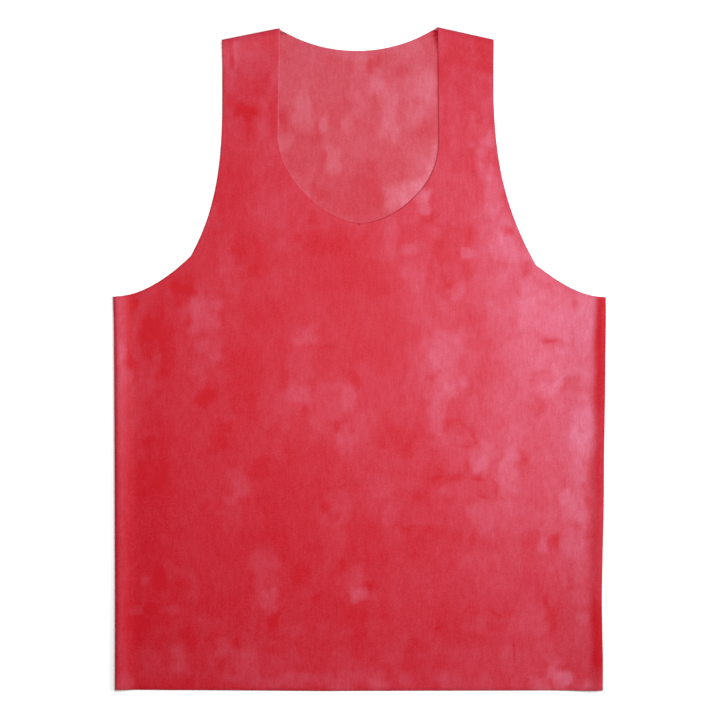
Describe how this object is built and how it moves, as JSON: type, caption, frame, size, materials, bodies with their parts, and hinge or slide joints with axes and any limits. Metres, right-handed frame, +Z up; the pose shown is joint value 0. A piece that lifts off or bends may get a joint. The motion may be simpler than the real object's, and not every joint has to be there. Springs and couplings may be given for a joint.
{
  "type": "latex muscle shirt",
  "caption": "Sleeveless scoop-neck shirt of sheet latex, laid flat with its front up: two panels lapped at the side and shoulder folds, with raw cut neck, armholes and hem",
  "frame": {"origin": "middle of the garment's footprint, on the surface that it lies on", "axes": "X across the shirt, positive to the right of the picture; Y along it from the hem to the neck; Z up, out of the front"},
  "size_m": [0.5, 0.6725, 0.0067],
  "materials": {
    "latex_outside": "red sheet latex, matt from a cloudy dusting of talc, darker where the powder is thin",
    "latex_inside": "red sheet latex, its inner face paler and pinker under an even coat of talc"
  },
  "bodies": {
    "root": {"front_panel": "latex_outside", "back_panel": "latex_inside"}
  },
  "joints": []
}
